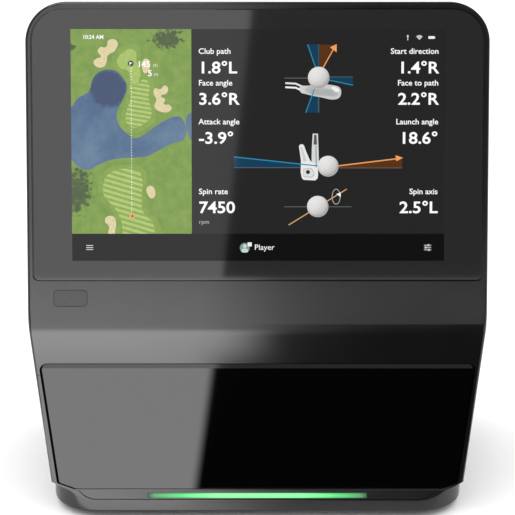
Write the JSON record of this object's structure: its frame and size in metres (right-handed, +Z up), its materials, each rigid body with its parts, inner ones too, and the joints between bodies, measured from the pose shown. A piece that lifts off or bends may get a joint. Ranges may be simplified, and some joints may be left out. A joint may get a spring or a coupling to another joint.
{
  "type": "golf launch monitor",
  "caption": "Wedge-shaped golf launch monitor: tilted touch display over a dark camera window, status light in the base lip, carrying handle and levelling foot behind.",
  "frame": {"origin": "on the ground under the middle of the unit", "axes": "+Z up; the display and the camera window face -Y; +X to the right of a person reading the display"},
  "size_m": [0.2664, 0.1511, 0.3028],
  "materials": {
    "housing_dark": "fine matt texture",
    "base_dark": "satin",
    "cover_glass": "polished, black border printed behind",
    "smoked_window": "polished, dark, lets infrared through",
    "black_tape": "matt",
    "display_face": "lit screen",
    "plated_steel": "zinc plated",
    "circuit_board": "green solder mask",
    "chip_black": "moulded",
    "flat_cable": "polyimide film",
    "button_black": "satin",
    "light_guide": "frosted, lit green",
    "bench_aluminium": "bead blasted",
    "camera_black": "black anodised",
    "lens_glass": "coated",
    "emitter_board": "white solder mask",
    "battery_tray": "moulded",
    "battery_cell": "shrink sleeve",
    "lead_red": "insulation",
    "fan_black": "moulded",
    "bearing_bronze": "sintered",
    "speaker_steel": "black",
    "bay_plastic": "moulded",
    "socket_metal": "nickel plated",
    "jack_plastic": "moulded",
    "foot_rubber": "matt",
    "wheel_plastic": "moulded",
    "stem_steel": "turned",
    "handle_plastic": "satin",
    "grip_rubber": "soft touch"
  },
  "bodies": {
    "unit": {"base_tray": "base_dark", "battery_cells": "battery_cell", "battery_lead": "lead_red", "battery_tray": "battery_tray", "board_frame": "plated_steel", "button_board": "circuit_board", "camera_centre_barrel": "camera_black", "camera_centre_body": "camera_black", "camera_centre_lens": "lens_glass", "camera_left_barrel": "camera_black", "camera_left_body": "camera_black", "camera_left_lens": "lens_glass", "camera_right_barrel": "camera_black", "camera_right_body": "camera_black", "camera_right_lens": "lens_glass", "camera_window": "smoked_window", "cpu_heatsink": "bench_aluminium", "dc_jack": "jack_plastic", "display_adhesive": "black_tape", "display_glass": "cover_glass", "fan_bearing": "bearing_bronze", "fan_frame": "fan_black", "fasteners": "plated_steel", "front_feet": "foot_rubber", "front_housing": "housing_dark", "handle_frame": "handle_plastic", "handle_grip": "grip_rubber", "hdmi_socket": "socket_metal", "ir_heatsink_left": "bench_aluminium", "ir_heatsink_right": "bench_aluminium", "ir_leds_left": "emitter_board", "ir_leds_right": "emitter_board", "lcd_backplate": "plated_steel", "lcd_board": "circuit_board", "lcd_flex": "flat_cable", "lcd_panel": "display_face", "main_board": "circuit_board", "main_chips": "chip_black", "optics_bench": "bench_aluminium", "port_bay": "bay_plastic", "port_board": "circuit_board", "port_door_pin": "plated_steel", "power_switch": "chip_black", "rear_housing": "housing_dark", "speaker_basket": "speaker_steel", "speaker_cone": "chip_black", "status_led_board": "circuit_board", "status_light_guide": "light_guide", "usb_c_socket": "socket_metal", "window_gasket": "black_tape", "window_surround": "housing_dark"},
    "button": {"power_button": "button_black", "switch_plunger": "button_black"},
    "door": {"port_door": "bay_plastic"},
    "rotor": {"fan_rotor": "fan_black", "fan_shaft": "plated_steel"},
    "wheel": {"foot_wheel": "wheel_plastic", "foot_clip": "plated_steel"},
    "stem": {"foot_stem": "stem_steel", "foot_pad": "foot_rubber"}
  },
  "joints": [
    {"name": "power_button_press", "type": "slide", "parent": "unit", "child": "button", "axis": [0, 0.9659, -0.2588], "range_m": [0, 0.0008], "stiffness_N_per_m": 2000, "springref_m": -0.0004},
    {"name": "port_door_hinge", "type": "hinge", "parent": "unit", "child": "door", "pos_m": [0, 0.07, 0.066], "axis": [1, 0, 0], "range_deg": [0, 95]},
    {"name": "fan_spin", "type": "hinge", "parent": "unit", "child": "rotor", "pos_m": [0.078, 0.06, 0.084], "axis": [0, 1, 0], "continuous": true},
    {"name": "foot_wheel_turn", "type": "hinge", "parent": "unit", "child": "wheel", "pos_m": [0, 0.05, 0.008], "axis": [0, 0, 1], "range_deg": [0, 1440]},
    {"name": "foot_stem_slide", "type": "slide", "parent": "unit", "child": "stem", "axis": [0, 0, -1], "range_m": [0, 0.008]}
  ],
  "couplings": [
    {"joint": "foot_stem_slide", "follows": "foot_wheel_turn", "m_per_rad": 0.000318}
  ]
}
